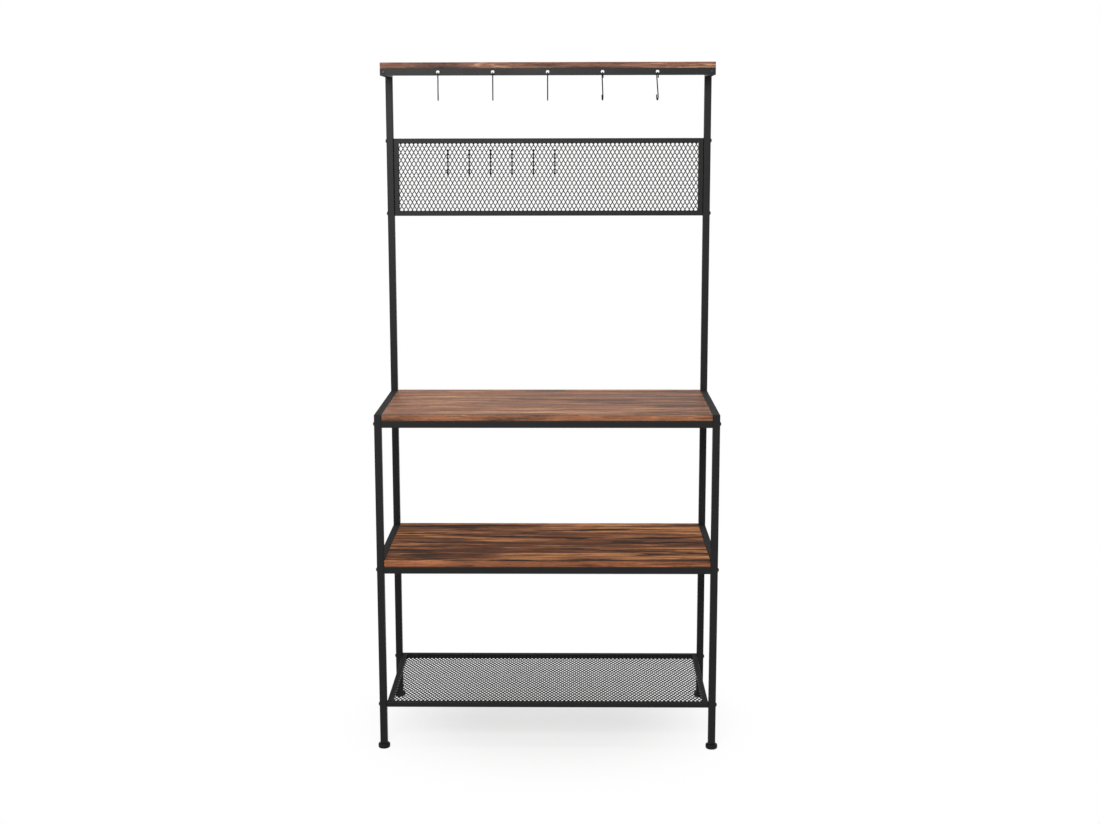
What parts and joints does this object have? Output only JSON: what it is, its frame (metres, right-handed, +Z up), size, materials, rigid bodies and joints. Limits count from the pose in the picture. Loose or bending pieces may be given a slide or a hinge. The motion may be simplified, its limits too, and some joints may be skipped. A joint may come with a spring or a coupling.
{
  "type": "bakers rack",
  "caption": "Free-standing kitchen bakers rack of black square tube with wood boards, a mesh bottom shelf, a mesh back panel, a narrow top shelf, loose S-hooks and levelling feet.",
  "frame": {"origin": "on the floor, under the middle of the rack's footprint", "axes": "+Z up, +Y from the front to the back, +X to the right as seen from the front"},
  "size_m": [0.862, 0.406, 1.72],
  "materials": {
    "frame_metal": "matte charcoal powder coat",
    "mesh_metal": "matte charcoal powder coat",
    "hook_wire": "satin black coat",
    "bolt_metal": "black oxide",
    "zinc_steel": "zinc plated",
    "foot_plastic": "moulded black plastic",
    "wood_board": "rustic brown wood-grain laminate, satin"
  },
  "bodies": {
    "rack": {"left_front_leg": "frame_metal", "left_rear_leg": "frame_metal", "left_worktop_side_bar": "frame_metal", "left_middle_side_bar": "frame_metal", "left_upper_post": "frame_metal", "left_top_arm": "frame_metal", "left_post_sleeve": "frame_metal", "right_front_leg": "frame_metal", "right_rear_leg": "frame_metal", "right_worktop_side_bar": "frame_metal", "right_middle_side_bar": "frame_metal", "right_upper_post": "frame_metal", "right_top_arm": "frame_metal", "right_post_sleeve": "frame_metal", "worktop_front_rail": "frame_metal", "middle_front_rail": "frame_metal", "worktop_rear_rail": "frame_metal", "middle_rear_rail": "frame_metal", "worktop_board": "wood_board", "middle_board": "wood_board", "top_front_angle": "frame_metal", "top_board": "wood_board", "bottom_shelf_front_rail": "frame_metal", "bottom_shelf_rear_rail": "frame_metal", "bottom_shelf_left_rail": "frame_metal", "bottom_shelf_right_rail": "frame_metal", "bottom_shelf_mesh": "mesh_metal", "panel_bottom_rail": "frame_metal", "panel_top_rail": "frame_metal", "panel_left_stile": "frame_metal", "panel_right_stile": "frame_metal", "panel_mesh": "mesh_metal", "leg_inserts": "foot_plastic", "frame_bolts": "bolt_metal", "rail_end_plugs": "zinc_steel", "frame_end_plugs": "zinc_steel", "board_screws": "bolt_metal", "angle_screws": "bolt_metal", "arm_end_plugs": "zinc_steel", "joint_screws": "bolt_metal"},
    "rail_hook_1": {"rail_hook_1": "hook_wire"},
    "rail_hook_2": {"rail_hook_2": "hook_wire"},
    "rail_hook_3": {"rail_hook_3": "hook_wire"},
    "rail_hook_4": {"rail_hook_4": "hook_wire"},
    "rail_hook_5": {"rail_hook_5": "hook_wire"},
    "panel_hook_1": {"panel_hook_1": "hook_wire"},
    "panel_hook_2": {"panel_hook_2": "hook_wire"},
    "panel_hook_3": {"panel_hook_3": "hook_wire"},
    "panel_hook_4": {"panel_hook_4": "hook_wire"},
    "panel_hook_5": {"panel_hook_5": "hook_wire"},
    "panel_hook_6": {"panel_hook_6": "hook_wire"},
    "left_front_foot": {"left_front_foot_pad": "foot_plastic", "left_front_foot_stud": "zinc_steel"},
    "left_rear_foot": {"left_rear_foot_pad": "foot_plastic", "left_rear_foot_stud": "zinc_steel"},
    "right_front_foot": {"right_front_foot_pad": "foot_plastic", "right_front_foot_stud": "zinc_steel"},
    "right_rear_foot": {"right_rear_foot_pad": "foot_plastic", "right_rear_foot_stud": "zinc_steel"}
  },
  "joints": [
    {"name": "rail_hook_1_swing", "type": "hinge", "parent": "rack", "child": "rail_hook_1", "pos_m": [-0.278, 0.06475, 1.69355], "axis": [-0.0958, 0.9954, 0], "range_deg": [-60, 60]},
    {"name": "rail_hook_2_swing", "type": "hinge", "parent": "rack", "child": "rail_hook_2", "pos_m": [-0.139, 0.06475, 1.69355], "axis": [-0.0523, 0.9986, 0], "range_deg": [-60, 60]},
    {"name": "rail_hook_3_swing", "type": "hinge", "parent": "rack", "child": "rail_hook_3", "pos_m": [0, 0.06475, 1.69355], "axis": [-0.0175, 0.9998, 0], "range_deg": [-60, 60]},
    {"name": "rail_hook_4_swing", "type": "hinge", "parent": "rack", "child": "rail_hook_4", "pos_m": [0.139, 0.06475, 1.69355], "axis": [0.1392, 0.9903, 0], "range_deg": [-60, 60]},
    {"name": "rail_hook_5_swing", "type": "hinge", "parent": "rack", "child": "rail_hook_5", "pos_m": [0.278, 0.06475, 1.69355], "axis": [0.2588, 0.9659, 0], "range_deg": [-60, 60]},
    {"name": "panel_hook_1_swing", "type": "hinge", "parent": "rack", "child": "panel_hook_1", "pos_m": [-0.2644, 0.188, 1.50027], "axis": [0, 1, 0], "range_deg": [-20, 20]},
    {"name": "panel_hook_2_swing", "type": "hinge", "parent": "rack", "child": "panel_hook_2", "pos_m": [-0.20815, 0.188, 1.50027], "axis": [0, 1, 0], "range_deg": [-20, 20]},
    {"name": "panel_hook_3_swing", "type": "hinge", "parent": "rack", "child": "panel_hook_3", "pos_m": [-0.1519, 0.188, 1.50027], "axis": [0, 1, 0], "range_deg": [-20, 20]},
    {"name": "panel_hook_4_swing", "type": "hinge", "parent": "rack", "child": "panel_hook_4", "pos_m": [-0.09565, 0.188, 1.50027], "axis": [0, 1, 0], "range_deg": [-20, 20]},
    {"name": "panel_hook_5_swing", "type": "hinge", "parent": "rack", "child": "panel_hook_5", "pos_m": [-0.0394, 0.188, 1.50027], "axis": [0, 1, 0], "range_deg": [-20, 20]},
    {"name": "panel_hook_6_swing", "type": "hinge", "parent": "rack", "child": "panel_hook_6", "pos_m": [0.01685, 0.188, 1.50027], "axis": [0, 1, 0], "range_deg": [-20, 20]},
    {"name": "left_front_foot_screw", "type": "slide", "parent": "rack", "child": "left_front_foot", "axis": [0, 0, -1], "range_m": [0, 0.01]},
    {"name": "left_rear_foot_screw", "type": "slide", "parent": "rack", "child": "left_rear_foot", "axis": [0, 0, -1], "range_m": [0, 0.01]},
    {"name": "right_front_foot_screw", "type": "slide", "parent": "rack", "child": "right_front_foot", "axis": [0, 0, -1], "range_m": [0, 0.01]},
    {"name": "right_rear_foot_screw", "type": "slide", "parent": "rack", "child": "right_rear_foot", "axis": [0, 0, -1], "range_m": [0, 0.01]}
  ]
}
